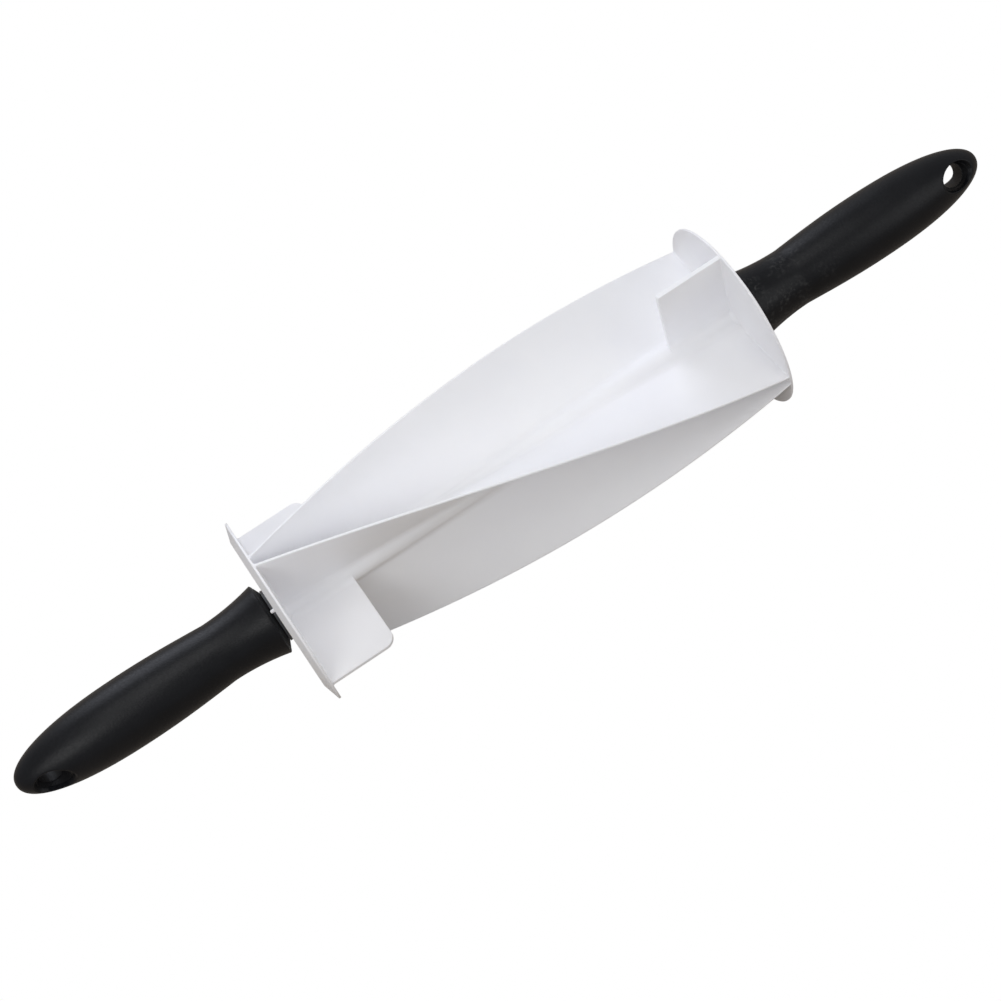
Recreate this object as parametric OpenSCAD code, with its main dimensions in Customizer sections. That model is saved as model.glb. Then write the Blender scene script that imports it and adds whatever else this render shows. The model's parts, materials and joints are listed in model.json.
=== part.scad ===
// Croissant cutter roller: a white moulded cutter with four helical blades between two discs,
// turning on a steel rod between two black grips. X runs along the roller, Z is up, and the
// origin lies on the roller's axis halfway between the discs.

/* [Cutter] */
// Diameter of the two end discs
disc_d = 75; // [60:1:100]
// Distance between the inner faces of the discs, which is the length of each triangle
cut_length = 197; // [150:1:240]
// Thickness of a disc at its hub
disc_t = 2.8; // [1.8:0.1:5]
// Width of the land at a disc's edge
disc_land = 0.9; // [0.5:0.1:1.5]
// Radial depth of the bevel on a disc's outer side
disc_bevel = 6.5; // [2:0.5:12]
// Diameter of the core between the discs
core_d = 11; // [9:0.5:16]
// Size of the fillet where the core meets a disc
core_fillet = 2; // [0.5:0.5:4]
// Thickness of a blade where it leaves the core
blade_root_t = 2.2; // [1.2:0.1:3.5]
// Thickness of a blade at its cutting edge
blade_edge_t = 1; // [0.6:0.1:1.2]
// Radius of the valley where two blades run into each other
valley_r = 1; // [0.4:0.1:1.4]
// How far the blade edges stay inside the discs' edges
blade_relief = 0.1; // [0.05:0.05:1]
// Width of the blunt tip of each triangle, between the middles of two blades
tip_gap = 4.2; // [3:0.1:8]
// Diameter of the moulding pip on the left disc's outer face
pip_d = 1.2; // [0.8:0.1:2]
// Height of the moulding pip
pip_h = 1.5; // [0.5:0.1:2]
// Distance of the moulding pip from the roller's axis
pip_reach = 20.2; // [16:0.2:28]
// Turn of the moulding pip about the roller's axis, from straight up towards the front
pip_turn = 27.5; // [0:0.5:360]

/* [Slit tabs] */
// Length of a tab, from the disc it stands on
tab_length = 27.2; // [10:0.2:45]
// Thickness of a tab
tab_t = 1.8; // [1:0.1:3]
// How far a tab's edge stays inside the discs' edges
tab_relief = 0.5; // [0.1:0.1:2]
// Radius of the outer corner of the left disc's tabs
left_tab_corner_r = 4.5; // [0.5:0.5:8]
// Radius of the outer corner of the right disc's tabs
right_tab_corner_r = 1; // [0.5:0.5:8]

/* [Axle] */
// Diameter of the steel rod through the core
rod_d = 5; // [4:0.5:6]
// How far the rod reaches into a handle, from the handle's rim
rod_reach = 52; // [49:1:54]
// Chamfer on the rod's ends
rod_chamfer = 0.6; // [0.2:0.1:1]
// Depth of the groove for the retaining clip
groove_depth = 0.6; // [0.3:0.05:0.9]
// Diameter of the thrust washer between disc and handle
thrust_d = 21; // [14:0.5:24]
// Thickness of the thrust washer
thrust_t = 1.05; // [0.5:0.05:2]
// Diameter of the plain washer inside the clip
washer_d = 9.6; // [8:0.2:12]
// Thickness of the plain washer
washer_t = 0.8; // [0.4:0.1:1.2]
// Diameter of the retaining clip
clip_d = 9; // [7:0.2:12]
// Thickness of the retaining clip
clip_t = 0.7; // [0.4:0.05:1]
// Width of the retaining clip's open mouth
clip_mouth = 3.2; // [2:0.1:3.8]

/* [Fits] */
// Radial clearance between rod and bushes
run_gap = 0.05; // [0.02:0.01:0.1]
// Gap between thrust washer and nose
nose_gap = 0.05; // [0.05:0.05:0.3]
// Free play of a handle along the rod, at its clip
end_float = 0.3; // [0.2:0.05:0.5]

/* [Bearing] */
// Outer diameter of a bush
bush_d = 8; // [7:0.2:9]
// Length of a bush, with its flange
bush_length = 11; // [6:0.5:16]
// Diameter of a bush's flange
bush_flange_d = 10.4; // [9:0.2:11.4]
// Thickness of a bush's flange
bush_flange_t = 1; // [0.6:0.1:2]
// Diameter of the bearing cap's nose
nose_d = 20; // [14:0.5:24]
// How far the nose stands out from the handle's rim
nose_rise = 1.9; // [1:0.1:4]
// Diameter of the cap where it sits in the grip's mouth
mouth_d = 25.2; // [24.5:0.1:26.5]
// Thickness of the cap's flange behind the rim
flange_t = 2; // [1:0.1:4]
// Diameter of the cap's stem
stem_d = 13.4; // [12:0.1:13.8]
// Length of the stem, from the handle's rim
stem_length = 44; // [38:1:45]
// Diameter of the socket that holds the stem's barbs
socket_d = 14; // [13.9:0.1:16]
// Depth of the socket, from the handle's rim
socket_depth = 57; // [55:1:70]
// Number of barbs round the stem
barb_count = 4; // [1:1:6]
// Distance from one barb to the next
barb_pitch = 7; // [4:0.5:9]

/* [Grip] */
// Length of a handle, from its rim to its tip
grip_length = 106.6; // [95:0.2:140]
// Diameter at the flared rim
rim_d = 28.4; // [27.6:0.1:36]
// Diameter at the waist
waist_d = 23.2; // [22:0.1:26]
// Distance of the waist from the rim
waist_at = 22; // [16:0.5:30]
// Diameter at the belly
belly_d = 26.4; // [25:0.1:34]
// Distance of the belly from the rim
belly_at = 56; // [46:0.5:70]
// Wall of the soft grip over the hard core
grip_wall = 2.2; // [1.2:0.1:3]
// Chamfer round the rim
rim_chamfer = 0.5; // [0.2:0.1:0.8]
// Diameter of the hanging hole's round throat
hang_d = 9; // [6:0.5:9.5]
// Length of the round throat
hang_throat = 7; // [5:0.5:8]
// Length of the hanging hole's oval mouths, along the handle
hang_mouth_l = 14.4; // [12:0.2:16]
// Width of the hanging hole's oval mouths
hang_mouth_w = 10.2; // [9.8:0.2:12]
// Distance of the hanging hole's middle from the tip
hang_inset = 12.8; // [12:0.2:16]
// Turn of the left hanging hole about the roller's axis, from straight up towards the front
hang_turn_left = 80; // [0:1:360]
// Turn of the right hanging hole about the roller's axis, from straight up towards the front
hang_turn_right = 52; // [0:1:360]

/* [Hidden] */
$fn = 96;

// How deep touching forms of one moulding run into each other, and how far a cut runs past
sink = 0.4;
past = 1;
// Steps along the blades, across one blade, and round the valley between two
blade_slices = 40;
blade_rows = 2;
valley_steps = 5;
// Steps along the flare, the neck and the rounded end of a handle's outline
flare_steps = 6;
neck_steps = 8;
end_steps = 14;
// Fullness of the rounded end
end_power = 2.4;
end_root = 2.2;
// Ledge round the hanging hole's throat, and how far its mouths widen past the skin
throat_ledge = 0.2;
mouth_widening = 1.05;

disc_r = disc_d / 2;
half_cut = cut_length / 2;
hub_x = half_cut + disc_t;
core_r = core_d / 2;
rod_r = rod_d / 2;
blade_r = disc_r - blade_relief;
tab_foot_r = (rod_r + core_r) / 2;
tip_angle = asin(tip_gap / 2 / blade_r);
blade_sweep = 90 - 2 * tip_angle;
tab_r = disc_r - tab_relief;

nose_x = hub_x + thrust_t + nose_gap;
rim_x = nose_x + nose_rise;
bush_bore_r = rod_r + run_gap;
washer_at = stem_length + bush_flange_t + end_float;
clip_at = washer_at + washer_t;
rod_end_x = rim_x + rod_reach;
groove_r = rod_r - groove_depth;

rim_r = rim_d / 2;
waist_r = waist_d / 2;
belly_r = belly_d / 2;
nose_r = nose_d / 2;
mouth_r = mouth_d / 2;
hang_at = grip_length - hang_inset;

// Where the handle's shallow conical end lies at a radius r, as a distance from the rim
function end_face_at(r) = -nose_rise * (rim_r - r) / (rim_r - nose_r);
lip_at = end_face_at(mouth_r);

// Radius of a handle's outline, a wall w inside the grip's surface, at a distance s from the rim
function outline_r(s, w) =
    s < waist_at ? waist_r - w + (rim_r - waist_r) * pow(1 - s / waist_at, 2) :
    s < belly_at ? waist_r - w + (belly_r - waist_r) * sin(90 * (s - waist_at) / (belly_at - waist_at)) :
    (belly_r - w) * pow(max(0, 1 - pow((s - belly_at) / (grip_length - w - belly_at), end_power)),
                        1 / end_root);

// The outline's points from s0 to the tip, as [radius, distance from the rim]
function outline(s0, w) = concat(
    [for (i = [0 : flare_steps - 1]) let (s = s0 + (waist_at - s0) * i / flare_steps)
        [outline_r(s, w), s]],
    [for (i = [0 : neck_steps - 1]) let (s = waist_at + (belly_at - waist_at) * i / neck_steps)
        [outline_r(s, w), s]],
    [for (i = [0 : end_steps - 1])
        let (s = belly_at + (grip_length - w - belly_at) * sin(90 * i / end_steps))
        [outline_r(s, w), s]],
    [[0, grip_length - w]]);

// Turns an outline of [radius, distance along X] about the X axis
module turned(points) rotate([0, 90, 0]) rotate_extrude() polygon(points);

// A tube along X
module ring_x(from, to, outer_r, inner_r) turned([
    [inner_r, from], [outer_r, from], [outer_r, to], [inner_r, to]]);

// Puts a piece made at the right end where the named side has it
module on_side(side) {
    if (side == "left") mirror([1, 0, 0]) children();
    else children();
}

module disc() turned([
    [0, half_cut - core_fillet - sink], [core_r - sink, half_cut - core_fillet - sink],
    [core_r + core_fillet, half_cut],
    [disc_r, half_cut], [disc_r, half_cut + disc_land],
    [disc_r - disc_bevel, hub_x], [0, hub_x]]);

// Half the thickness of a blade at a distance u from the axis
blade_taper = (blade_edge_t - blade_root_t) / 2 / (blade_r - core_r);
function half_t(u) = blade_root_t / 2 + blade_taper * (u - core_r);

// Distance from the axis at which a blade's side ends, where it meets the valley to the next
// blade at twice the angle half_gap, or the core
function meeting_u(half_gap) = half_t(0) / (tan(half_gap) - blade_taper);
function foot_u(half_gap) =
    max(meeting_u(half_gap) + valley_r / tan(half_gap), core_r + blade_root_t / 2);

// Distance of the valley's floor from the axis, at an angle off from the valley's middle
function valley_floor(half_gap, off) =
    let (centre = meeting_u(half_gap) / cos(half_gap) + valley_r / sin(half_gap),
         rise = pow(valley_r, 2) - pow(centre * sin(off), 2))
    max(core_r, centre * cos(off) - sqrt(max(0, rise)));

// A point [y, z] at a distance u along the direction turn and v across it
function polar_point(turn, u, v) =
    [u * sin(turn) + v * cos(turn), u * cos(turn) - v * sin(turn)];

// One side of a blade from foot to edge, with v above nought on the side of growing angle
function blade_side(turn, half_gap, way) =
    let (u0 = foot_u(half_gap), u1 = sqrt(pow(blade_r, 2) - pow(blade_edge_t / 2, 2)))
    [for (i = [0 : blade_rows]) let (u = u0 + (u1 - u0) * i / blade_rows)
        polar_point(turn, u, way * half_t(u))];

function valley(turn, half_gap) =
    let (u0 = foot_u(half_gap), edge = half_gap - atan(half_t(u0) / u0))
    [for (i = [1 : valley_steps - 1]) let (off = edge * (2 * i / valley_steps - 1))
        polar_point(turn + half_gap + off, valley_floor(half_gap, off), 0)];

function backwards(list) = [for (i = [len(list) - 1 : -1 : 0]) list[i]];

// The outline of core and blades, when the two upper blades stand at the angle open from upright
function section(open) = [
    for (arm = [[open, open, 90 - open], [180 - open, 90 - open, open],
                [180 + open, open, 90 - open], [360 - open, 90 - open, open]])
        each concat(blade_side(arm[0], arm[1], -1),
                    backwards(blade_side(arm[0], arm[2], 1)),
                    valley(arm[0], arm[2]))];

// The core with its four blades, each turning at a steady rate from disc to disc
module bladed_core() {
    end_x = half_cut + sink;
    sections = [for (i = [0 : blade_slices]) let (x = end_x * (2 * i / blade_slices - 1))
        [for (p = section(45 + blade_sweep * x / cut_length)) [x, p[0], p[1]]]];
    count = len(sections[0]);
    last = blade_slices * count;
    polyhedron(
        concat([for (ring = sections, p = ring) p], [[-end_x, 0, 0], [end_x, 0, 0]]),
        [for (j = [0 : count - 1]) let (k = (j + 1) % count) each concat(
            [[last + count, k, j]],
            [for (low = [0 : count : last - count]) each
                [[low + j, low + count + k, low + count + j], [low + j, low + k, low + count + k]]],
            [[last + count + 1, last + j, last + k]])]);
}

// A flat tab on the right disc that slits the middle of a triangle's base, pointing up
module slit_tab(corner_r) {
    x0 = half_cut - tab_length;
    rotate([90, 0, 0]) translate([0, 0, -tab_t / 2]) linear_extrude(tab_t) union() {
        translate([x0, tab_foot_r]) square([tab_length + sink, tab_r - corner_r - tab_foot_r]);
        translate([x0 + corner_r, tab_foot_r])
            square([tab_length + sink - corner_r, tab_r - tab_foot_r]);
        translate([x0 + corner_r, tab_r - corner_r]) circle(r = corner_r);
    }
}

module moulding_pip()
    rotate([pip_turn, 0, 0]) translate([-hub_x + sink, 0, pip_reach]) rotate([0, -90, 0])
        cylinder(d = pip_d, h = pip_h + sink);

module cutter_body() color("whitesmoke") difference() {
    union() {
        disc();
        mirror([1, 0, 0]) disc();
        bladed_core();
        for (half = [0, 180]) {
            rotate([half, 0, 0]) slit_tab(right_tab_corner_r);
            rotate([half + 90, 0, 0]) mirror([1, 0, 0]) slit_tab(left_tab_corner_r);
        }
        moulding_pip();
    }
    ring_x(-hub_x - past, hub_x + past, rod_r, 0);
}

module axle_rod() color("silver") difference() {
    turned([
        [0, -rod_end_x], [rod_r - rod_chamfer, -rod_end_x], [rod_r, -rod_end_x + rod_chamfer],
        [rod_r, rod_end_x - rod_chamfer], [rod_r - rod_chamfer, rod_end_x], [0, rod_end_x]]);
    for (side = ["left", "right"]) on_side(side)
        ring_x(rim_x + clip_at, rim_x + clip_at + clip_t, rod_d, groove_r);
}

module thrust_washer() color("dimgray")
    ring_x(hub_x, hub_x + thrust_t, thrust_d / 2, bush_bore_r);

module bush(from) color("ivory") {
    ring_x(from, from + bush_flange_t, bush_flange_d / 2, bush_bore_r);
    ring_x(from, from + bush_length, bush_d / 2, bush_bore_r);
}

module nose_bush() bush(nose_x);

module inner_bush()
    translate([2 * (rim_x + stem_length) + bush_flange_t, 0, 0]) mirror([1, 0, 0])
        bush(rim_x + stem_length);

module plain_washer() color("gainsboro")
    ring_x(rim_x + washer_at, rim_x + washer_at + washer_t, washer_d / 2, bush_bore_r);

module retaining_clip() color("darkgray") {
    inner_lobe_turn = 105;
    translate([rim_x + clip_at, 0, 0]) rotate([0, 90, 0]) linear_extrude(clip_t) difference() {
        circle(d = clip_d);
        circle(r = groove_r);
        translate([0, -clip_mouth / 2]) square([clip_d, clip_mouth]);
        for (way = [1, -1]) rotate(way * inner_lobe_turn)
            translate([groove_r, 0]) circle(r = (clip_d / 2 - groove_r) / 2);
    }
}

module bearing_cap() color("black") {
    stem_r = stem_d / 2;
    socket_r = socket_d / 2;
    barb_t = barb_pitch / 3;
    first_barb = stem_length - barb_pitch * barb_count;
    translate([rim_x, 0, 0]) difference() {
        turned(concat(
            [[0, -nose_rise], [nose_r, -nose_rise], [mouth_r, lip_at], [mouth_r, flange_t],
             [stem_r, flange_t]],
            [for (i = [0 : barb_count - 1], p = [[0, stem_r], [0, socket_r], [barb_t, stem_r]])
                [p[1], first_barb + i * barb_pitch + p[0]]],
            [[stem_r, stem_length], [0, stem_length]]));
        ring_x(-nose_rise - past, stem_length + past, (bush_d / 2 + bush_bore_r) / 2, 0);
        ring_x(-nose_rise - past, -nose_rise + bush_flange_t, bush_flange_d / 2, 0);
        ring_x(-nose_rise - past, -nose_rise + bush_length, bush_d / 2, 0);
        ring_x(stem_length + bush_flange_t - bush_length, stem_length + past, bush_d / 2, 0);
    }
}

// The hanging hole: a round throat that widens into an oval mouth on either side of the handle
module hang_hole(turn) {
    throat_r = hang_d / 2;
    reach = hang_mouth_l / 2;
    tilt = atan((outline_r(hang_at - reach, 0) - outline_r(hang_at + reach, 0)) / hang_mouth_l);
    translate([rim_x + hang_at, 0, 0]) rotate([turn, 0, 0]) {
        cylinder(r = throat_r, h = belly_d, center = true);
        for (flip = [0, 180]) rotate([flip, 0, 0]) hull() {
            translate([0, 0, hang_throat / 2]) cylinder(r = throat_r + throat_ledge, h = sink);
            translate([0, 0, outline_r(hang_at, 0) + sink]) rotate([0, tilt, 0])
                linear_extrude(sink) scale(mouth_widening * [hang_mouth_l, hang_mouth_w] / 2)
                    circle(r = 1);
        }
    }
}

module core_form() translate([rim_x, 0, 0])
    turned(concat([[0, flange_t]], outline(flange_t, grip_wall)));

module handle_core(turn) color("black") difference() {
    core_form();
    ring_x(rim_x, rim_x + socket_depth, socket_d / 2, 0);
    hang_hole(turn);
}

module grip_sleeve(turn) color("black") difference() {
    inside_rim = rim_r - rim_chamfer;
    translate([rim_x, 0, 0]) turned(concat(
        [[0, lip_at], [mouth_r, lip_at], [inside_rim, end_face_at(inside_rim)]],
        outline(rim_chamfer, 0)));
    ring_x(rim_x + lip_at - past, rim_x + flange_t, mouth_r, 0);
    core_form();
    hang_hole(turn);
}

cutter_body();
axle_rod();
on_side("left") thrust_washer();  // left_thrust_washer
on_side("left") bearing_cap();  // left_bearing_cap
on_side("left") nose_bush();  // left_nose_bush
on_side("left") inner_bush();  // left_inner_bush
on_side("left") plain_washer();  // left_plain_washer
on_side("left") retaining_clip();  // left_retaining_clip
on_side("left") handle_core(hang_turn_left);  // left_handle_core
on_side("left") grip_sleeve(hang_turn_left);  // left_grip_sleeve
on_side("right") thrust_washer();  // right_thrust_washer
on_side("right") bearing_cap();  // right_bearing_cap
on_side("right") nose_bush();  // right_nose_bush
on_side("right") inner_bush();  // right_inner_bush
on_side("right") plain_washer();  // right_plain_washer
on_side("right") retaining_clip();  // right_retaining_clip
on_side("right") handle_core(hang_turn_right);  // right_handle_core
on_side("right") grip_sleeve(hang_turn_right);  // right_grip_sleeve
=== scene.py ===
"""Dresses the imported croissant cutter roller: a white moulded cutter on a steel rod between two
soft black grips. Laid out as an add-on, and run as a script. Shapes are worked out in millimetres
and scaled to metres when each piece is finished."""
import json
import math

import bmesh
import bpy
from mathutils import Matrix, Vector


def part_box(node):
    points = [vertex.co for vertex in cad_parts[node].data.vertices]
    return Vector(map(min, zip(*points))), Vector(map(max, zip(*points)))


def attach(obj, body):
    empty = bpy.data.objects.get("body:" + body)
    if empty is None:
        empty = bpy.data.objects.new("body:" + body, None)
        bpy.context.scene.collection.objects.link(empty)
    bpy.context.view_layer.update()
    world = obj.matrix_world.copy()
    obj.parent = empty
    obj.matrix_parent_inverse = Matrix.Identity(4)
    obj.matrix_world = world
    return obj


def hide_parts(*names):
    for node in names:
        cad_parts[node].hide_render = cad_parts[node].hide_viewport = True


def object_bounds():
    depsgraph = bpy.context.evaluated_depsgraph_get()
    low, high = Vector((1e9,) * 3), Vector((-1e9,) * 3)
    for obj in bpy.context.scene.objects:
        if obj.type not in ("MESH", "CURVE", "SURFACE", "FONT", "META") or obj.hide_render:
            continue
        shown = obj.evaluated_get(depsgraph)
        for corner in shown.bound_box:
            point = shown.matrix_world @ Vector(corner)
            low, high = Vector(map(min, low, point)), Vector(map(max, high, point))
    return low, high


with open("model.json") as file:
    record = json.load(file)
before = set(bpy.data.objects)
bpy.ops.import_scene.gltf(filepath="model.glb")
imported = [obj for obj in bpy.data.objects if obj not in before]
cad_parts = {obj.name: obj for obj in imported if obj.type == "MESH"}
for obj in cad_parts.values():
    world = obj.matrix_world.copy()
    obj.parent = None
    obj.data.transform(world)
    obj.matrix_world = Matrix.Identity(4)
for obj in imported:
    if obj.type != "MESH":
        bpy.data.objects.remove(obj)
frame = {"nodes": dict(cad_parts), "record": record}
cad_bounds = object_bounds()

bl_info = {
    "name": "Croissant Cutter Roller",
    "version": (1, 0, 0),
    "blender": (4, 5, 0),
    "location": "View3D > Sidebar > Roller",
    "description": "Makes the visible pieces, finishes and stage of a croissant cutter roller",
    "category": "Object",
}

MM = 0.001
SIDES = {"left": -1, "right": 1}
# Distance of a grip's rim from the middle of the tool, in mm
RIM_X = 104.3
# How far the foot of a fillet lies under the skin it runs into, in mm, so that the union is clean
SUNK = 0.02
# How far blades and tabs reach into the core, in mm
ROOT_REACH = 2
# How much of a blade's edge is rounded
EDGE_FULLNESS = 0.7
# How much wider the pip's foot is than its end
PIP_SPREAD = 1.25
# Powers of the outline of a grip's rounded end, along it and across it
END_POWER = 2.4
END_ROOT = 2.2
# How far round a hanging hole the grip is opened for the hole's rings, in mm: its outer skin beyond
# the lip, and its inner skin beyond the mouth
OPEN_OUTSIDE = 1.6
OPEN_INSIDE = 0.8
# Rings round a mouth of the hanging hole: on the skin, in mm beyond the lip, and down the lip, in
# degrees of its rounding
SKIN_RINGS = (1.2, 0.6, 0)
LIP_TURNS = range(10, 70, 10)

# Steps round a disc, a grip and a mouth of a hanging hole
DISC_STEPS = 180
GRIP_STEPS = 192
MOUTH_STEPS = 96
# Steps of a blade between the fillets at its ends, rows of its flat side, and rows of its rounded
# edge, in degrees of the rounding
BLADE_STEPS = 72
FLAT_ROWS = 5
EDGE_TURNS = (30, 60, 90)
# Rows of a grip's outer and inner outline, on each side of its belly
OUTER_ROWS = 64
INNER_ROWS = 40
# Halvings that find where a hole's wall meets the core
HALVINGS = 24
# Points closer than this, in mm, are one point
MERGE = 0.002
# Points closer than this to a plane, in mm, lie in it
HAIR = 1e-4
# Edges that turn by more than this stay crisp, in degrees
SHARP_DEG = 32

# Where the right grip has caught a little flour, beside its disc, and the distances from there
# over which it thins out to nothing
FLOURED_AT = (116 * MM, 0, 0)
FLOUR_FULL = 14 * MM
FLOUR_GONE = 30 * MM
# A wave texture of scale 1 repeats at this distance
WAVE_REPEAT = math.tau / 20
# Places of the colours on a Mix node, its two inputs and its result
MIX_A, MIX_B, MIXED = 6, 7, 2

# Half the table's width, and how far it lies below the object
TABLE_HALF = 6
TABLE_BELOW = 0.1 * MM
ROOM_COLOUR = "#FAFBFF"
ROOM_STRENGTH = 0.43
# The soft boxes: name, place, aim and width in mm, watts and tint
LAMPS = (
    ("back window", (0, 1040, 600), (0, 0, 0), 800, 5.2, "#EEF2FF"),
    ("overhead", (0, 0, 1200), (0, 0, 0), 800, 3.4, "#FFFFFF"),
    ("front fill", (735, -735, 600), (0, 0, 0), 800, 2.0, "#FFFFFF"),
    ("left lamp", (-400, -250, 420), (-100, 0, 0), 300, 0.7, "#FFFFFF"),
)


def box_mm(name):
    """Lowest and highest corner of a CAD node, in millimetres."""
    low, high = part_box(name)
    return low / MM, high / MM


def hanging_hole(side):
    """The mount at the throat of a grip's hanging hole."""
    return next(m for m in frame["record"]["mounts"] if m["name"] == side + "_hanging_hole")


def hole_turn(side):
    """How far a hanging hole is turned about X from straight up towards the front, in radians."""
    axis = hanging_hole(side)["axis"]
    return math.atan2(-axis[1], axis[2])


def hole_at(side):
    """Distance of a hanging hole from the middle of the tool, in millimetres."""
    return abs(hanging_hole(side)["pos_m"][0]) / MM


DISC_D = box_mm("cutter_body")[1].z * 2
GRIP_END = box_mm("right_grip_sleeve")[1].x


def hex_to_linear(code):
    """An sRGB hex colour as linear RGBA."""
    parts = [int(code[i:i + 2], 16) / 255 for i in (1, 3, 5)]
    return [c / 12.92 if c <= 0.04045 else ((c + 0.055) / 1.055) ** 2.4 for c in parts] + [1]


def length(name, description, default):
    """A size in millimetres, with the subtype that shows its number as millimetres."""
    return bpy.props.FloatProperty(name=name, description=description, default=default,
                                   subtype="DISTANCE_CAMERA")


def colour(name, description, code):
    """A colour swatch, with its default given as sRGB hex."""
    return bpy.props.FloatVectorProperty(name=name, description=description, size=4, min=0, max=1,
                                         default=hex_to_linear(code), subtype="COLOR")


class CutterSizes(bpy.types.PropertyGroup):
    """Sizes of the white cutter"""
    disc_d: length("Disc diameter", "Diameter of the end discs", DISC_D)
    cut_length: length("Cutting length", "Distance between the discs' inner faces", 197)
    disc_t: length("Disc thickness", "Thickness of a disc at its hub", 2.8)
    disc_land: length("Disc land", "Width of the land at a disc's edge", 0.9)
    disc_bevel: length("Disc bevel", "Radial depth of the bevel on a disc's outer side", 6.5)
    disc_round: length("Disc rounding", "Rounding of the bevel's inner edge", 0.6)
    bore_d: length("Bore", "Diameter of the bore for the rod", 5)
    core_d: length("Core diameter", "Diameter of the core between the discs", 11)
    core_fillet: length("Core fillet", "Fillet where the core meets a disc", 2)
    blade_root_t: length("Blade root", "Thickness of a blade at the core", 2.2)
    blade_edge_t: length("Blade edge", "Thickness of a blade at its cutting edge", 1)
    blade_relief: length("Blade relief", "How far the blades stay inside the discs", 0.1)
    root_fillet: length("Root fillet", "Fillet between blade and core", 3.4)
    end_fillet: length("End fillet", "Fillet where blades and tabs meet a disc", 0.8)
    tip_gap: length("Tip gap", "Width of a triangle's blunt tip", 4.2)
    tab_length: length("Tab length", "Length of a slit tab from its disc", 27.2)
    tab_t: length("Tab thickness", "Thickness of a slit tab", 1.8)
    tab_relief: length("Tab relief", "How far a tab stays inside the discs", 0.5)
    left_tab_corner_r: length("Left tab corner", "Outer corner of the left disc's tabs", 4.5)
    right_tab_corner_r: length("Right tab corner", "Outer corner of the right disc's tabs", 1)
    edge_round: length("Edge rounding", "Rounding of the moulding's free edges", 0.22)
    pip_d: length("Pip diameter", "Diameter of the moulding pip", 1.2)
    pip_h: length("Pip height", "Height of the moulding pip", 1.5)
    pip_round: length("Pip rounding", "Rounding of the pip's end", 0.4)
    pip_reach: length("Pip reach", "Distance of the pip from the axis", 20.2)
    pip_turn: bpy.props.FloatProperty(
        name="Pip turn", description="Turn of the pip about the axis from straight up",
        default=math.radians(27.5), subtype="ANGLE")
    sink: length("Sink", "How deep joined forms of the moulding run into each other", 0.4)


class GripSizes(bpy.types.PropertyGroup):
    """Sizes of the two soft grips"""
    rim_x: length("Rim place", "Distance of a grip's rim from the middle", RIM_X)
    grip_length: length("Grip length", "From a grip's rim to its tip", GRIP_END - RIM_X)
    rim_d: length("Rim diameter", "Diameter at the flared rim", 28.4)
    waist_d: length("Waist diameter", "Diameter at the waist", 23.2)
    waist_at: length("Waist place", "Distance of the waist from the rim", 22)
    belly_d: length("Belly diameter", "Diameter at the belly", 26.4)
    belly_at: length("Belly place", "Distance of the belly from the rim", 56)
    wall: length("Grip wall", "Wall of the soft grip over its core", 2.2)
    mouth_d: length("Mouth diameter", "Diameter of the mouth round the cap", 25.2)
    mouth_depth: length("Mouth depth", "Depth of the mouth behind the rim", 2)
    nose_d: length("Nose diameter", "Diameter of the cap's nose", 20)
    nose_rise: length("Nose rise", "How far the nose stands out from the rim", 1.9)
    rim_round: length("Rim rounding", "Rounding of the rim", 0.5)
    hang_d: length("Hanging hole", "Diameter of the hanging hole's round throat", 9)
    hang_throat: length("Throat length", "Length of the round throat", 7)
    hang_mouth_l: length("Mouth length", "Length of the hole's oval mouths", 14.4)
    hang_mouth_w: length("Mouth width", "Width of the hole's oval mouths", 10.2)
    hang_round: length("Hole rounding", "Rounding of the hanging hole's lip", 0.9)


class Finishes(bpy.types.PropertyGroup):
    """Colours of the pieces"""
    cutter: colour("Cutter", "Colour of the white moulding", "#F7F7F9")
    grip: colour("Grip", "Colour of the soft grip", "#0B0C0F")
    dust: colour("Flour dust", "Colour of the dust in the soft grip's pores", "#4A4A49")
    cap: colour("Cap", "Colour of the hard black plastic", "#0C0C0E")
    washer: colour("Thrust washer", "Colour of the grey thrust washers", "#4A4B4E")
    bush: colour("Bushes", "Colour of the acetal bushes", "#E4E0D2")
    steel: colour("Steel", "Colour of the ground steel", "#C4C6C8")


class StageSetting(bpy.types.PropertyGroup):
    """Camera and table"""
    camera_at: bpy.props.FloatVectorProperty(
        name="Camera place", description="Where the camera stands", size=3,
        default=(-98.08 * MM, -403.32 * MM, 620.85 * MM), subtype="TRANSLATION", unit="LENGTH")
    camera_aim: bpy.props.FloatVectorProperty(
        name="Camera aim", description="The point at the middle of the picture", size=3,
        default=(-11.01 * MM, -7.69 * MM, -6.38 * MM), subtype="TRANSLATION", unit="LENGTH")
    camera_roll: bpy.props.FloatProperty(
        name="Camera roll", description="Turn of the picture about the line of sight",
        default=math.radians(-22.921), subtype="ANGLE")
    lens: length("Lens", "Focal length on a 36 mm wide picture", 73.484)
    table: colour("Table", "Colour of the table, seen only in its bounce", "#A59B8F")


def node(tree, kind, output, settings, links):
    """Adds a node, sets its attributes or sockets, links its inputs and returns one output."""
    made = tree.nodes.new(kind)
    for key, value in settings.items():
        if isinstance(key, str) and hasattr(made, key):
            setattr(made, key, value)
        else:
            made.inputs[key].default_value = value
    for key, source in links.items():
        tree.links.new(source, made.inputs[key])
    return made.outputs[output]


def new_material(name, **shader):
    """A Principled material, with its constant numbers on the shader's own sockets."""
    material = bpy.data.materials.new(name)
    material.use_nodes = True
    tree = material.node_tree
    surface = tree.nodes["Principled BSDF"]
    for socket, value in shader.items():
        surface.inputs[socket.replace("_", " ")].default_value = value
    return material, tree, node(tree, "ShaderNodeTexCoord", "Object", {}, {})


def cover(tree, **sources):
    """Links sockets to the shader's own inputs of the same names."""
    surface = tree.nodes["Principled BSDF"]
    for socket, source in sources.items():
        tree.links.new(source, surface.inputs[socket.replace("_", " ")])


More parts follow.
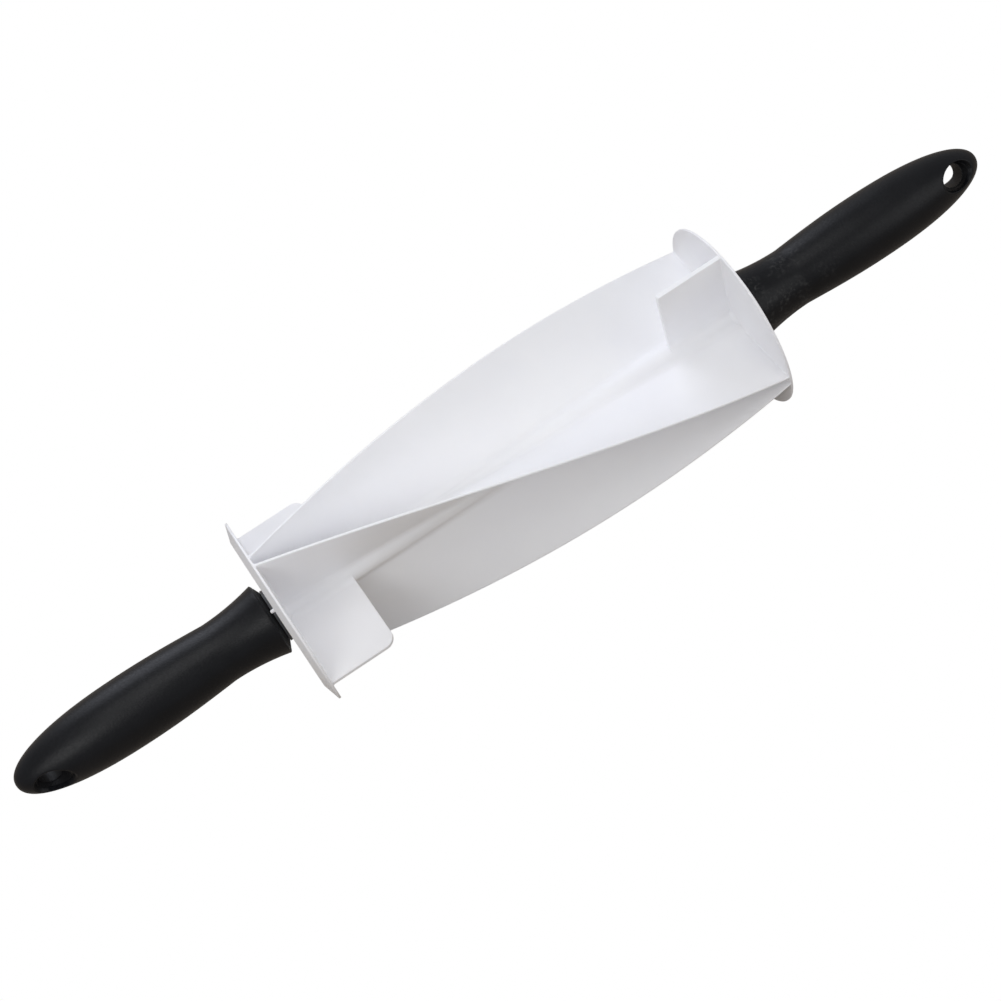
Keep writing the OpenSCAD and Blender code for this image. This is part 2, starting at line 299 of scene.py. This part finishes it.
def moulded_polypropylene(finish):
    """White injection-moulded polypropylene: milky and satin, with faint clouds where it flowed."""
    material, tree, place = new_material(
        "moulded polypropylene", IOR=1.49, Subsurface_Weight=0.5, Subsurface_Scale=2.5 * MM,
        Subsurface_Radius=(1, 0.97, 0.94))
    flow = node(tree, "ShaderNodeTexNoise", "Fac",
                {"Scale": 1 / (38 * MM), "Detail": 3}, {"Vector": place})
    clouds = node(tree, "ShaderNodeMapRange", "Result",
                  {"From Min": 0.35, "From Max": 0.7}, {"Value": flow})
    white = node(tree, "ShaderNodeMix", MIXED,
                 {"data_type": "RGBA", MIX_A: finish.cutter, MIX_B: hex_to_linear("#F3F3F6")},
                 {0: clouds})
    # The mould's grain is about 0.1 mm in life, and coarser here so that it shows
    grain = node(tree, "ShaderNodeTexNoise", "Fac",
                 {"Scale": 1 / (0.5 * MM), "Detail": 2}, {"Vector": place})
    gloss = node(tree, "ShaderNodeMapRange", "Result",
                 {"From Min": 0.3, "From Max": 0.7, "To Min": 0.46, "To Max": 0.56},
                 {"Value": grain})
    relief = node(tree, "ShaderNodeBump", "Normal", {"Distance": 0.012 * MM}, {"Height": grain})
    cover(tree, Base_Color=white, Roughness=gloss, Normal=relief)
    return material


def soft_touch_rubber(finish):
    """Soft-touch thermoplastic rubber: deep black, with leathery pores that hold some flour."""
    material, tree, place = new_material("soft-touch rubber", IOR=1.5, Specular_IOR_Level=0.22)
    # The pores are about 0.3 mm in life, and coarser here so that they show
    pores = node(tree, "ShaderNodeTexNoise", "Fac",
                 {"Scale": 1 / (0.9 * MM), "Detail": 3}, {"Vector": place})
    patches = node(tree, "ShaderNodeTexNoise", "Fac",
                   {"Scale": 1 / (9 * MM), "Detail": 3}, {"Vector": place})
    specks = node(tree, "ShaderNodeTexNoise", "Fac",
                  {"Scale": 1 / (1.3 * MM), "Detail": 2}, {"Vector": place})
    away = node(tree, "ShaderNodeVectorMath", "Value",
                {"operation": "DISTANCE", 1: FLOURED_AT}, {0: place})
    near = node(tree, "ShaderNodeMapRange", "Result",
                {"From Min": FLOUR_FULL, "From Max": FLOUR_GONE, "To Min": 1, "To Max": 0},
                {"Value": away})
    caught = node(tree, "ShaderNodeMapRange", "Result",
                  {"From Min": 0.43, "From Max": 0.63}, {"Value": patches})
    spots = node(tree, "ShaderNodeMapRange", "Result",
                 {"From Min": 0.48, "From Max": 0.84}, {"Value": specks})
    floured = node(tree, "ShaderNodeMath", 0, {"operation": "MULTIPLY"}, {0: near, 1: caught})
    dusty = node(tree, "ShaderNodeMath", 0, {"operation": "MULTIPLY"}, {0: floured, 1: spots})
    worn = node(tree, "ShaderNodeMapRange", "Result",
                {"From Min": 0.3, "From Max": 0.7}, {"Value": patches})
    black = node(tree, "ShaderNodeMix", MIXED,
                 {"data_type": "RGBA", MIX_A: finish.grip, MIX_B: hex_to_linear("#101114")},
                 {0: worn})
    dusted = node(tree, "ShaderNodeMix", MIXED, {"data_type": "RGBA", MIX_B: finish.dust},
                  {0: dusty, MIX_A: black})
    gloss = node(tree, "ShaderNodeMapRange", "Result",
                 {"From Min": 0.3, "From Max": 0.7, "To Min": 0.3, "To Max": 0.42},
                 {"Value": pores})
    relief = node(tree, "ShaderNodeBump", "Normal", {"Distance": 0.05 * MM}, {"Height": pores})
    cover(tree, Base_Color=dusted, Roughness=gloss, Normal=relief)
    return material


def hard_black_plastic(finish):
    """Injection-moulded black nylon: dull, from the fine spark-eroded texture of its mould."""
    material, tree, place = new_material("hard black nylon", IOR=1.53, Specular_IOR_Level=0.35)
    # The texture is about 0.1 mm in life, and coarser here so that it shows
    grain = node(tree, "ShaderNodeTexNoise", "Fac",
                 {"Scale": 1 / (0.4 * MM), "Detail": 2}, {"Vector": place})
    share = node(tree, "ShaderNodeMapRange", "Result",
                 {"From Min": 0.3, "From Max": 0.7}, {"Value": grain})
    black = node(tree, "ShaderNodeMix", MIXED,
                 {"data_type": "RGBA", MIX_A: finish.cap, MIX_B: hex_to_linear("#121214")},
                 {0: share})
    gloss = node(tree, "ShaderNodeMapRange", "Result",
                 {"From Min": 0.3, "From Max": 0.7, "To Min": 0.45, "To Max": 0.6},
                 {"Value": grain})
    relief = node(tree, "ShaderNodeBump", "Normal", {"Distance": 0.02 * MM}, {"Height": grain})
    cover(tree, Base_Color=black, Roughness=gloss, Normal=relief)
    return material


def filled_nylon(finish):
    """Turned grey low-friction nylon: dull, with fine rings from the tool."""
    material, tree, place = new_material("filled nylon", Roughness=0.45, IOR=1.53)
    # The tool's rings are about 0.1 mm apart in life, and coarser here so that they show
    rings = node(tree, "ShaderNodeTexWave", "Fac",
                 {"wave_type": "RINGS", "rings_direction": "X",
                  "Scale": WAVE_REPEAT / (0.94 * MM), "Distortion": 0.3}, {"Vector": place})
    grey = node(tree, "ShaderNodeMix", MIXED,
                {"data_type": "RGBA", MIX_A: finish.washer, MIX_B: hex_to_linear("#424346")},
                {0: rings})
    relief = node(tree, "ShaderNodeBump", "Normal", {"Distance": 0.02 * MM}, {"Height": rings})
    cover(tree, Base_Color=grey, Normal=relief)
    return material


def acetal(finish):
    """Moulded ivory acetal: smooth, waxy and slightly see-through at thin edges."""
    material, tree, place = new_material(
        "acetal", Roughness=0.35, IOR=1.48, Subsurface_Weight=0.1, Subsurface_Scale=1 * MM)
    cloud = node(tree, "ShaderNodeTexNoise", "Fac",
                 {"Scale": 1 / (6 * MM), "Detail": 2}, {"Vector": place})
    ivory = node(tree, "ShaderNodeMix", MIXED,
                 {"data_type": "RGBA", MIX_A: finish.bush, MIX_B: hex_to_linear("#DCD8C8")},
                 {0: cloud})
    cover(tree, Base_Color=ivory)
    return material


def ground_steel(finish):
    """Ground steel: bright, with fine marks round the rod, so its gloss stretches along it."""
    material, tree, place = new_material("ground steel", Metallic=1, Anisotropic=0.3)
    # The marks are far finer than this in life, and coarser here so that they show
    marks = node(tree, "ShaderNodeTexWave", "Fac",
                 {"wave_type": "BANDS", "bands_direction": "X",
                  "Scale": WAVE_REPEAT / (0.63 * MM), "Distortion": 2, "Detail": 3},
                 {"Vector": place})
    bright = node(tree, "ShaderNodeMix", MIXED,
                  {"data_type": "RGBA", MIX_A: finish.steel, MIX_B: hex_to_linear("#B4B6B9")},
                  {0: marks})
    gloss = node(tree, "ShaderNodeMapRange", "Result", {"To Min": 0.24, "To Max": 0.36},
                 {"Value": marks})
    relief = node(tree, "ShaderNodeBump", "Normal", {"Distance": 0.004 * MM}, {"Height": marks})
    cover(tree, Base_Color=bright, Roughness=gloss, Normal=relief)
    return material


def dress(piece, material):
    """Gives a piece one material in all its slots."""
    piece.data.materials.clear()
    piece.data.materials.append(material)


def linked(bm, name):
    """Turns a bmesh into an object of the scene, at the origin."""
    mesh = bpy.data.meshes.new(name)
    bm.to_mesh(mesh)
    bm.free()
    made = bpy.data.objects.new(name, mesh)
    bpy.context.scene.collection.objects.link(made)
    return made


def finish_piece(bm, name):
    """Turns a bmesh in millimetres into a smooth-shaded object in metres."""
    bmesh.ops.remove_doubles(bm, verts=bm.verts, dist=MERGE)
    bmesh.ops.scale(bm, vec=(MM, MM, MM), verts=bm.verts)
    bmesh.ops.recalc_face_normals(bm, faces=bm.faces)
    piece = linked(bm, name)
    piece.data.shade_smooth()
    piece.data.set_sharp_from_angle(angle=math.radians(SHARP_DEG))
    return piece


def lathe(bm, outline, steps, closed=False):
    """Spins an outline of (distance along X, radius) round the X axis."""
    rim = [bm.verts.new((x, 0, r)) for x, r in outline]
    pairs = list(zip(rim, rim[1:])) + ([(rim[-1], rim[0])] if closed else [])
    edges = [bm.edges.new(pair) for pair in pairs]
    bmesh.ops.spin(bm, geom=rim + edges, cent=(0, 0, 0), axis=(1, 0, 0), angle=math.tau,
                   steps=steps, use_merge=True)
    bmesh.ops.remove_doubles(bm, verts=bm.verts, dist=MERGE)
    bmesh.ops.recalc_face_normals(bm, faces=bm.faces)


def arc(centre, radius, start_deg, end_deg, steps):
    """Points of a round stretch of outline, from start to end angle."""
    turns = [math.radians(start_deg + (end_deg - start_deg) * i / steps) for i in range(steps + 1)]
    return [(centre[0] + radius * math.cos(t), centre[1] + radius * math.sin(t)) for t in turns]


def fillet_rise(distance, radius):
    """How far a fillet of a radius stands out at a distance from the wall it runs into."""
    if distance >= radius:
        return 0.0
    return radius - math.sqrt(max(0.0, radius ** 2 - (radius - distance) ** 2))


def fillet_rows(radius, steps=6):
    """Distances from a wall that follow the fillet into it in even turns."""
    return [radius * (1 - math.cos(math.radians(90 * i / steps))) for i in range(steps + 1)]


def hub_half(size):
    """Half of the outline of discs and core, from the middle of the core to the bore's end."""
    half_cut, disc_r, core_r = size.cut_length / 2, size.disc_d / 2, size.core_d / 2
    hub_x, fillet, edge = half_cut + size.disc_t, size.core_fillet, size.edge_round
    bore_r, soft = size.bore_d / 2, size.disc_round
    bevel_deg = math.degrees(math.atan2(size.disc_t - size.disc_land, size.disc_bevel))
    return (
        [(0, core_r)]
        + arc((half_cut - fillet, core_r + fillet), fillet, -90, 0, 8)
        + arc((half_cut + edge, disc_r - edge), edge, 180, 90, 3)
        + arc((half_cut + size.disc_land - edge, disc_r - edge), edge, 90, bevel_deg, 3)
        + arc((hub_x - soft, disc_r - size.disc_bevel - soft / 2), soft, bevel_deg, 0, 3)
        + [(hub_x, bore_r + size.sink), (hub_x - size.sink, bore_r)])


def root_fillet(core_r, half_t, radius):
    """Distances from the axis between which a fillet runs that touches core and flat side."""
    top = math.sqrt((core_r + radius) ** 2 - (half_t + radius) ** 2)
    return top * core_r / (core_r + radius), top


def root_rise(u, core_r, half_t, radius):
    """How far the root's fillet stands out from a flat side, at a distance from the axis."""
    foot, top = root_fillet(core_r, half_t, radius)
    down = min(max(top - u, 0.0), top - foot)
    return radius - math.sqrt(radius ** 2 - down ** 2)


def root_rows(core_r, half_t, radius, steps=8):
    """Distances from the axis that follow the root's fillet in even turns."""
    foot, top = root_fillet(core_r, half_t, radius)
    whole = math.asin((top - foot) / radius)
    return [top - radius * math.sin(whole * (1 - i / steps)) for i in range(steps + 1)]


def blade_profile(size):
    """Rows of a blade's section: (distance from the axis, half thickness), root to edge."""
    core_r, blade_r = size.core_d / 2 - SUNK, size.disc_d / 2 - size.blade_relief
    root_t, edge_t = size.blade_root_t / 2, size.blade_edge_t / 2
    edge_r, rows = edge_t * EDGE_FULLNESS, root_rows(core_r, root_t, size.root_fillet)
    top, flat = rows[-1], blade_r - edge_r
    side = [top + (flat - top) * i / FLAT_ROWS for i in range(1, FLAT_ROWS + 1)]
    rows = [core_r - ROOT_REACH] + rows + side

    def half_t(u):
        return root_t + (edge_t - root_t) * max(0.0, u - core_r) / (blade_r - core_r)

    points = [(u, half_t(u) + root_rise(u, core_r, root_t, size.root_fillet)) for u in rows]
    points += [(flat + edge_r * math.sin(math.radians(t)),
                edge_t - edge_r + edge_r * math.cos(math.radians(t))) for t in EDGE_TURNS]
    return points


def end_spans(size):
    """Lengths of the blade's steps from disc to disc, short ones in the fillets at both ends."""
    fine = fillet_rows(size.end_fillet)
    ends = [size.sink - SUNK] + [b - a for a, b in zip(fine, fine[1:])]
    middle = (size.cut_length + 2 * SUNK - 2 * size.end_fillet) / BLADE_STEPS
    return ends + [middle] * BLADE_STEPS + ends[::-1]


def blade(size, way, half):
    """One helical blade. way is its hand, and half turns it to the far side of the core."""
    bm = bmesh.new()
    half_cut = size.cut_length / 2
    blade_r = size.disc_d / 2 - size.blade_relief
    tip = math.asin(size.tip_gap / 2 / blade_r)
    sweep = math.pi / 2 - 2 * tip
    rate = way * sweep / size.cut_length
    middle_turn = way * math.pi / 4 + half
    start_x = -half_cut - size.sink
    points = blade_profile(size)
    outline = [(u, t) for u, t in points] + [(u, -t) for u, t in reversed(points)]
    ring = [bm.verts.new((start_x, t, u)) for u, t in outline]
    face = bm.faces.new(ring)
    bmesh.ops.rotate(bm, verts=ring, cent=(0, 0, 0),
                     matrix=Matrix.Rotation(-(middle_turn + rate * start_x), 3, "X"))
    geom = [face] + list(face.edges) + ring
    for span in end_spans(size):
        spun = bmesh.ops.spin(bm, geom=geom, cent=(0, 0, 0), axis=(1, 0, 0), dvec=(span, 0, 0),
                              angle=-rate * span, steps=1)
        geom = spun["geom_last"]
    for vert in bm.verts:
        rise = fillet_rise(max(0.0, half_cut + SUNK - abs(vert.co.x)), size.end_fillet)
        if rise <= 0:
            continue
        turn = middle_turn + rate * vert.co.x
        across = Vector((0, math.cos(turn), -math.sin(turn)))
        if abs(vert.co.dot(across)) > HAIR:
            vert.co += across * math.copysign(rise, vert.co.dot(across))
    bmesh.ops.recalc_face_normals(bm, faces=bm.faces)
    return bm


def slit_tab(size, side, turn, corner_r):
    """A flat tab with a rounded corner, flared where it meets disc and core."""
    bm = bmesh.new()
    half_cut, core_r, half_t = size.cut_length / 2, size.core_d / 2 - SUNK, size.tab_t / 2
    x0, x1 = half_cut - size.tab_length, half_cut + size.sink
    low, high = core_r - ROOT_REACH, size.disc_d / 2 - size.tab_relief
    corners = [bm.verts.new(p) for p in ((x0, 0, low), (x1, 0, low), (x1, 0, high), (x0, 0, high))]
    bm.faces.new(corners)
    bmesh.ops.bevel(bm, geom=[corners[3]], offset=corner_r, offset_type="OFFSET",
                    segments=10, profile=0.5, affect="VERTICES", material=-1)
    plate = bmesh.ops.extrude_face_region(bm, geom=bm.faces[:])
    new_verts = [g for g in plate["geom"] if isinstance(g, bmesh.types.BMVert)]
    bmesh.ops.translate(bm, verts=new_verts, vec=(0, size.tab_t, 0))
    bmesh.ops.translate(bm, verts=bm.verts, vec=(0, -half_t, 0))
    bmesh.ops.recalc_face_normals(bm, faces=bm.faces)
    free = [e for e in bm.edges
            if abs(e.verts[0].co.y - e.verts[1].co.y) < HAIR
            and not all(v.co.x > x1 - HAIR for v in e.verts)
            and not all(v.co.z < low + HAIR for v in e.verts)]
    bmesh.ops.bevel(bm, geom=free, offset=size.edge_round, offset_type="OFFSET", segments=3,
                    profile=0.5, affect="EDGES", material=-1)
    wall = half_cut + SUNK
    cuts = [((wall - near, 0, 0), (1, 0, 0)) for near in fillet_rows(size.end_fillet)]
    cuts += [((0, 0, u), (0, 0, 1)) for u in root_rows(core_r, half_t, size.root_fillet)]
    for place, normal in cuts:
        bmesh.ops.bisect_plane(bm, geom=bm.verts[:] + bm.edges[:] + bm.faces[:],
                               plane_co=place, plane_no=normal, dist=HAIR)
    for vert in bm.verts:
        rise = max(fillet_rise(max(0.0, wall - vert.co.x), size.end_fillet),
                   root_rise(vert.co.z, core_r, half_t, size.root_fillet))
        vert.co.y += math.copysign(rise, vert.co.y)
    if side < 0:
        bmesh.ops.scale(bm, vec=(-1, 1, 1), verts=bm.verts)
    bmesh.ops.rotate(bm, verts=bm.verts, cent=(0, 0, 0), matrix=Matrix.Rotation(turn, 3, "X"))
    bmesh.ops.recalc_face_normals(bm, faces=bm.faces)
    return bm


def moulding_pip(size):
    """The small domed pip on the left disc's outer face."""
    bm = bmesh.new()
    tall, radius = size.pip_h + size.sink, size.pip_d / 2
    bmesh.ops.create_cone(bm, cap_ends=True, segments=24, radius1=radius * PIP_SPREAD,
                          radius2=radius, depth=tall)
    top = [e for e in bm.edges if all(v.co.z > 0 for v in e.verts)]
    bmesh.ops.bevel(bm, geom=top, offset=size.pip_round, offset_type="OFFSET", segments=4,
                    profile=0.5, affect="EDGES", material=-1)
    middle_x = -(size.cut_length / 2 + size.disc_t - size.sink + tall / 2)
    bmesh.ops.rotate(bm, verts=bm.verts, cent=(0, 0, 0),
                     matrix=Matrix.Rotation(-math.pi / 2, 3, "Y"))
    bmesh.ops.translate(bm, verts=bm.verts, vec=(middle_x, 0, size.pip_reach))
    bmesh.ops.rotate(bm, verts=bm.verts, cent=(0, 0, 0),
                     matrix=Matrix.Rotation(size.pip_turn, 3, "X"))
    bmesh.ops.recalc_face_normals(bm, faces=bm.faces)
    return bm


def united(base, others):
    """The union of a closed form with others, as a bmesh."""
    for other in others:
        join = base.modifiers.new("join", "BOOLEAN")
        join.operation = "UNION"
        join.solver = "EXACT"
        join.object = other
    shape = base.evaluated_get(bpy.context.evaluated_depsgraph_get())
    bm = bmesh.new()
    bm.from_mesh(shape.to_mesh())
    shape.to_mesh_clear()
    for used in [base] + others:
        bpy.data.objects.remove(used)
    return bm


class ROLLER_OT_cutter(bpy.types.Operator):
    """Make the white cutter: two discs, the core, four helical blades, four tabs and the pip"""
    bl_idname = "roller.make_cutter"
    bl_label = "Make cutter"

    def execute(self, context):
        size = context.scene.cutter_sizes
        hub = bmesh.new()
        half = hub_half(size)
        outline = half + [(-x, r) for x, r in reversed(half)]
        outline = [p for i, p in enumerate(outline) if i == 0 or p != outline[i - 1]]
        lathe(hub, outline, DISC_STEPS, closed=True)
        shells = [blade(size, way, turn) for way in (1, -1) for turn in (0, math.pi)]
        shells += [slit_tab(size, 1, turn, size.right_tab_corner_r) for turn in (0, math.pi)]
        shells += [slit_tab(size, -1, turn, size.left_tab_corner_r)
                   for turn in (math.pi / 2, -math.pi / 2)]
        shells.append(moulding_pip(size))
        bm = united(linked(hub, "hub"), [linked(shell, "shell") for shell in shells])
        cutter = finish_piece(bm, "cutter")
        weigh = cutter.modifiers.new("even shading", "WEIGHTED_NORMAL")
        weigh.keep_sharp = True
        dress(cutter, moulded_polypropylene(context.scene.finishes))
        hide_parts("cutter_body")
        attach(cutter, "roller")
        return {"FINISHED"}


def outline_r(size, s, wall):
    """Radius of a grip's outline, a wall inside its surface, at a distance s from the rim."""
    rim, waist, belly = size.rim_d / 2, size.waist_d / 2, size.belly_d / 2
    if s < size.waist_at:
        return waist - wall + (rim - waist) * (1 - s / size.waist_at) ** 2
    if s < size.belly_at:
        share = (s - size.waist_at) / (size.belly_at - size.waist_at)
        return waist - wall + (belly - waist) * math.sin(math.pi / 2 * share)
    share = (s - size.belly_at) / (size.grip_length - wall - size.belly_at)
    return (belly - wall) * max(0.0, 1 - share ** END_POWER) ** (1 / END_ROOT)


def grip_outline(size, start, wall, rows):
    """Points along a grip's outline from a start to the tip, closer together at the round end."""
    belly, end = size.belly_at, size.grip_length - wall
    straight = [start + (belly - start) * i / rows for i in range(rows)]
    round_end = [belly + (end - belly) * math.sin(math.pi / 2 * i / rows) for i in range(rows + 1)]
    return [(s, outline_r(size, s, wall)) for s in straight + round_end]


def end_face_at(size, r):
    """Where the handle's shallow conical end lies at a radius, from the rim."""
    return -size.nose_rise * (size.rim_d / 2 - r) / (size.rim_d / 2 - size.nose_d / 2)


def skin_height(size, x, y):
    """Height of the grip's skin over a point, seen along the hanging hole."""
    return math.sqrt(max(0.0, outline_r(size, x, 0) ** 2 - y ** 2))


def mouth_ring(bm, size, hang_at, way, spread, drop=0.0):
    """An oval of edges round a mouth of the hanging hole, laid on the skin and lowered by drop."""
    ring = bmesh.ops.create_circle(bm, segments=MOUTH_STEPS, radius=1)["verts"]
    reach, half_w = size.hang_mouth_l / 2 + spread, size.hang_mouth_w / 2 + spread
    for vert in ring:
        x, y = hang_at + vert.co.x * reach, vert.co.y * half_w
        vert.co = (x, y, way * (skin_height(size, x, y) - drop))
    return ring


def core_ring(bm, size, hang_at, way, rim):
    """A ring where the hole's walls, from rim down to the throat, meet the core's skin."""
    ring = bmesh.ops.create_circle(bm, segments=MOUTH_STEPS, radius=size.hang_d / 2)["verts"]
    for vert, start in zip(ring, rim):
        end = Vector((hang_at + vert.co.x, vert.co.y, way * size.hang_throat / 2))
        high, low = 0.0, 1.0
        for _ in range(HALVINGS):
            share = (high + low) / 2
            point = start.co.lerp(end, share)
            if math.hypot(point.y, point.z) > outline_r(size, point.x, size.wall):
                high = share
            else:
                low = share
        vert.co = start.co.lerp(end, low)
    return ring


def loop_edges(ring):
    """The edges of a ring of vertices, each once and in the ring's order."""
    return list(dict.fromkeys(edge for vert in ring for edge in vert.link_edges))


def open_skin(bm, size, hang_at, spread, way, outer):
    """Deletes the skin's faces round one mouth of the hanging hole, and returns the edges left."""
    reach, half_w = size.hang_mouth_l / 2 + spread, size.hang_mouth_w / 2 + spread

    def near(face):
        c = face.calc_center_median()
        on_outer = math.hypot(c.y, c.z) > outline_r(size, c.x, size.wall / 2)
        off = min(math.hypot((v.co.x - hang_at) / reach, v.co.y / half_w) for v in face.verts)
        return c.z * way > 0 and on_outer == outer and off < 1

    doomed = [face for face in bm.faces if near(face)]
    if not doomed:
        raise RuntimeError("the hanging hole found no skin to open")
    open_before = {edge for edge in bm.edges if edge.is_boundary}
    bmesh.ops.delete(bm, geom=doomed, context="FACES")
    return [edge for edge in bm.edges if edge.is_boundary and edge not in open_before]


def pierce(bm, size, hang_at, way):
    """Opens one oval mouth of the hanging hole, with a rounded lip and sloping walls below it."""
    lip = size.hang_round
    inside = open_skin(bm, size, hang_at, OPEN_INSIDE, way, outer=False)
    edge = open_skin(bm, size, hang_at, lip + OPEN_OUTSIDE, way, outer=True)
    rings = [mouth_ring(bm, size, hang_at, way, lip + extra) for extra in SKIN_RINGS]
    for turn in LIP_TURNS:
        rings.append(mouth_ring(bm, size, hang_at, way, lip * (1 - math.sin(math.radians(turn))),
                                lip * (1 - math.cos(math.radians(turn)))))
    rings.append(core_ring(bm, size, hang_at, way, rings[-1]))
    for ring in rings:
        bmesh.ops.bridge_loops(bm, edges=edge + loop_edges(ring))
        edge = [e for e in loop_edges(ring) if e.is_boundary]
    bmesh.ops.bridge_loops(bm, edges=inside + edge)


def grip_shell(size, hang_at):
    """The soft grip as a closed shell round its core, with its hanging hole standing upright."""
    bm = bmesh.new()
    mouth_r, depth, rim_in = size.mouth_d / 2, size.mouth_depth, size.rim_d / 2 - size.rim_round
    soft = size.rim_round / 2
    outer = grip_outline(size, size.rim_round, 0, OUTER_ROWS)
    inner = grip_outline(size, depth, size.wall, INNER_ROWS)
    lip = [(end_face_at(size, mouth_r) + soft, mouth_r),
           (end_face_at(size, mouth_r + soft), mouth_r + soft),
           (end_face_at(size, rim_in), rim_in),
           (size.rim_round / 4, outline_r(size, size.rim_round, 0) + size.rim_round / 12)]
    lathe(bm, inner[::-1] + [(depth, mouth_r)] + lip + outer, GRIP_STEPS)
    for way in (1, -1):
        pierce(bm, size, hang_at, way)
    return bm


class ROLLER_OT_grips(bpy.types.Operator):
    """Make the two soft grips with their flared rims and hanging holes"""
    bl_idname = "roller.make_grips"
    bl_label = "Make grips"

    def execute(self, context):
        size = context.scene.grip_sizes
        rubber = soft_touch_rubber(context.scene.finishes)
        for side, way in SIDES.items():
            bm = grip_shell(size, hole_at(side) - size.rim_x)
            bmesh.ops.rotate(bm, verts=bm.verts, cent=(0, 0, 0),
                             matrix=Matrix.Rotation(hole_turn(side), 3, "X"))
            bmesh.ops.translate(bm, verts=bm.verts, vec=(size.rim_x, 0, 0))
            bmesh.ops.scale(bm, vec=(way, 1, 1), verts=bm.verts)
            grip = finish_piece(bm, side + "_grip")
            dress(grip, rubber)
            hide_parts(side + "_grip_sleeve")
            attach(grip, side + "_handle")
        return {"FINISHED"}


class ROLLER_OT_inside(bpy.types.Operator):
    """Give the caps, cores, rod, bushes, washers and clips their real finishes"""
    bl_idname = "roller.dress_inside"
    bl_label = "Dress inner pieces"

    def execute(self, context):
        finish = context.scene.finishes
        by_slot = {"steel": ground_steel(finish), "grey_plastic": filled_nylon(finish),
                   "black_plastic": hard_black_plastic(finish), "bush_plastic": acetal(finish)}
        for part in frame["record"]["subparts"]:
            if part["material_slot"] in by_slot:
                dress(frame["nodes"][part["node"]], by_slot[part["material_slot"]])
        return {"FINISHED"}


def white_to_camera(tree, own, kind, end):
    """Shows a shader to the camera as plain white, and as itself to every other ray."""
    sight = node(tree, "ShaderNodeLightPath", "Is Camera Ray", {}, {})
    white = node(tree, kind, 0, {"Color": (1, 1, 1, 1), "Strength": 1}, {})
    both = node(tree, "ShaderNodeMixShader", 0, {}, {0: sight, 1: own, 2: white})
    tree.links.new(both, end.inputs["Surface"])


def table_top(setting):
    """Matt table top: only its warm bounce shows, on the undersides of the object."""
    material, tree, _ = new_material("matt table top", Base_Color=setting.table, Roughness=0.9)
    white_to_camera(tree, tree.nodes["Principled BSDF"].outputs[0], "ShaderNodeEmission",
                    tree.nodes["Material Output"])
    return material


def soft_room():
    """A dim, even room, which shows to the camera as plain white."""
    world = bpy.data.worlds.new("soft room")
    world.use_nodes = True
    tree = world.node_tree
    room = tree.nodes["Background"]
    room.inputs["Color"].default_value = hex_to_linear(ROOM_COLOUR)
    room.inputs["Strength"].default_value = ROOM_STRENGTH
    white_to_camera(tree, room.outputs[0], "ShaderNodeBackground", tree.nodes["World Output"])
    return world


def soft_light(name, place_mm, aim_mm, width_mm, watts, tint):
    """A square soft box."""
    light = bpy.data.lights.new(name, "AREA")
    light.size = width_mm * MM
    light.energy = watts
    light.color = hex_to_linear(tint)[:3]
    lamp = bpy.data.objects.new(name, light)
    bpy.context.scene.collection.objects.link(lamp)
    place, aim = Vector(place_mm) * MM, Vector(aim_mm) * MM
    lamp.location = place
    lamp.rotation_euler = (aim - place).to_track_quat("-Z", "Y").to_euler()


class ROLLER_OT_stage(bpy.types.Operator):
    """Set the table, the soft lights and the camera at the photograph's angle"""
    bl_idname = "roller.set_stage"
    bl_label = "Set stage"

    def execute(self, context):
        scene, setting = context.scene, context.scene.stage_setting
        bm = bmesh.new()
        bmesh.ops.create_grid(bm, x_segments=1, y_segments=1, size=TABLE_HALF)
        bmesh.ops.translate(bm, verts=bm.verts, vec=(0, 0, cad_bounds[0].z - TABLE_BELOW))
        table = linked(bm, "table")
        dress(table, table_top(setting))

        scene.world = soft_room()
        for lamp in LAMPS:
            soft_light(*lamp)

        eye = bpy.data.cameras.new("camera")
        eye.lens = setting.lens
        eye.sensor_width = 36
        eye.clip_start, eye.clip_end = 0.01, 20
        camera = bpy.data.objects.new("camera", eye)
        scene.collection.objects.link(camera)
        place, aim = Vector(setting.camera_at), Vector(setting.camera_aim)
        level = (aim - place).to_track_quat("-Z", "Y").to_matrix()
        camera.rotation_euler = (level @ Matrix.Rotation(setting.camera_roll, 3, "Z")).to_euler()
        camera.location = place
        scene.camera = camera
        scene.view_settings.view_transform = "Standard"
        return {"FINISHED"}


class ROLLER_PT_panel(bpy.types.Panel):
    """Lists the roller's pieces and sizes"""
    bl_label = "Croissant cutter roller"
    bl_idname = "ROLLER_PT_panel"
    bl_space_type = "VIEW_3D"
    bl_region_type = "UI"
    bl_category = "Roller"

    def draw(self, context):
        for operator in OPERATORS:
            self.layout.operator(operator.bl_idname)
        for name, group in GROUPS.items():
            box = self.layout.box()
            box.label(text=name.replace("_", " ").capitalize())
            for prop in group.__annotations__:
                box.prop(getattr(context.scene, name), prop)


GROUPS = {"cutter_sizes": CutterSizes, "grip_sizes": GripSizes, "finishes": Finishes,
          "stage_setting": StageSetting}
OPERATORS = (ROLLER_OT_stage, ROLLER_OT_cutter, ROLLER_OT_grips, ROLLER_OT_inside)
CLASSES = (*GROUPS.values(), *OPERATORS, ROLLER_PT_panel)


def register():
    """Registers the classes, and gives the scene their settings."""
    for cls in CLASSES:
        bpy.utils.register_class(cls)
    for name, group in GROUPS.items():
        setattr(bpy.types.Scene, name, bpy.props.PointerProperty(type=group))


def unregister():
    """Undoes what register does."""
    for name in GROUPS:
        delattr(bpy.types.Scene, name)
    for cls in reversed(CLASSES):
        bpy.utils.unregister_class(cls)


def main():
    """Makes the stage and the pieces."""
    register()
    bpy.ops.roller.set_stage()
    bpy.ops.roller.make_cutter()
    bpy.ops.roller.make_grips()
    bpy.ops.roller.dress_inside()


if __name__ == "__main__":
    main()
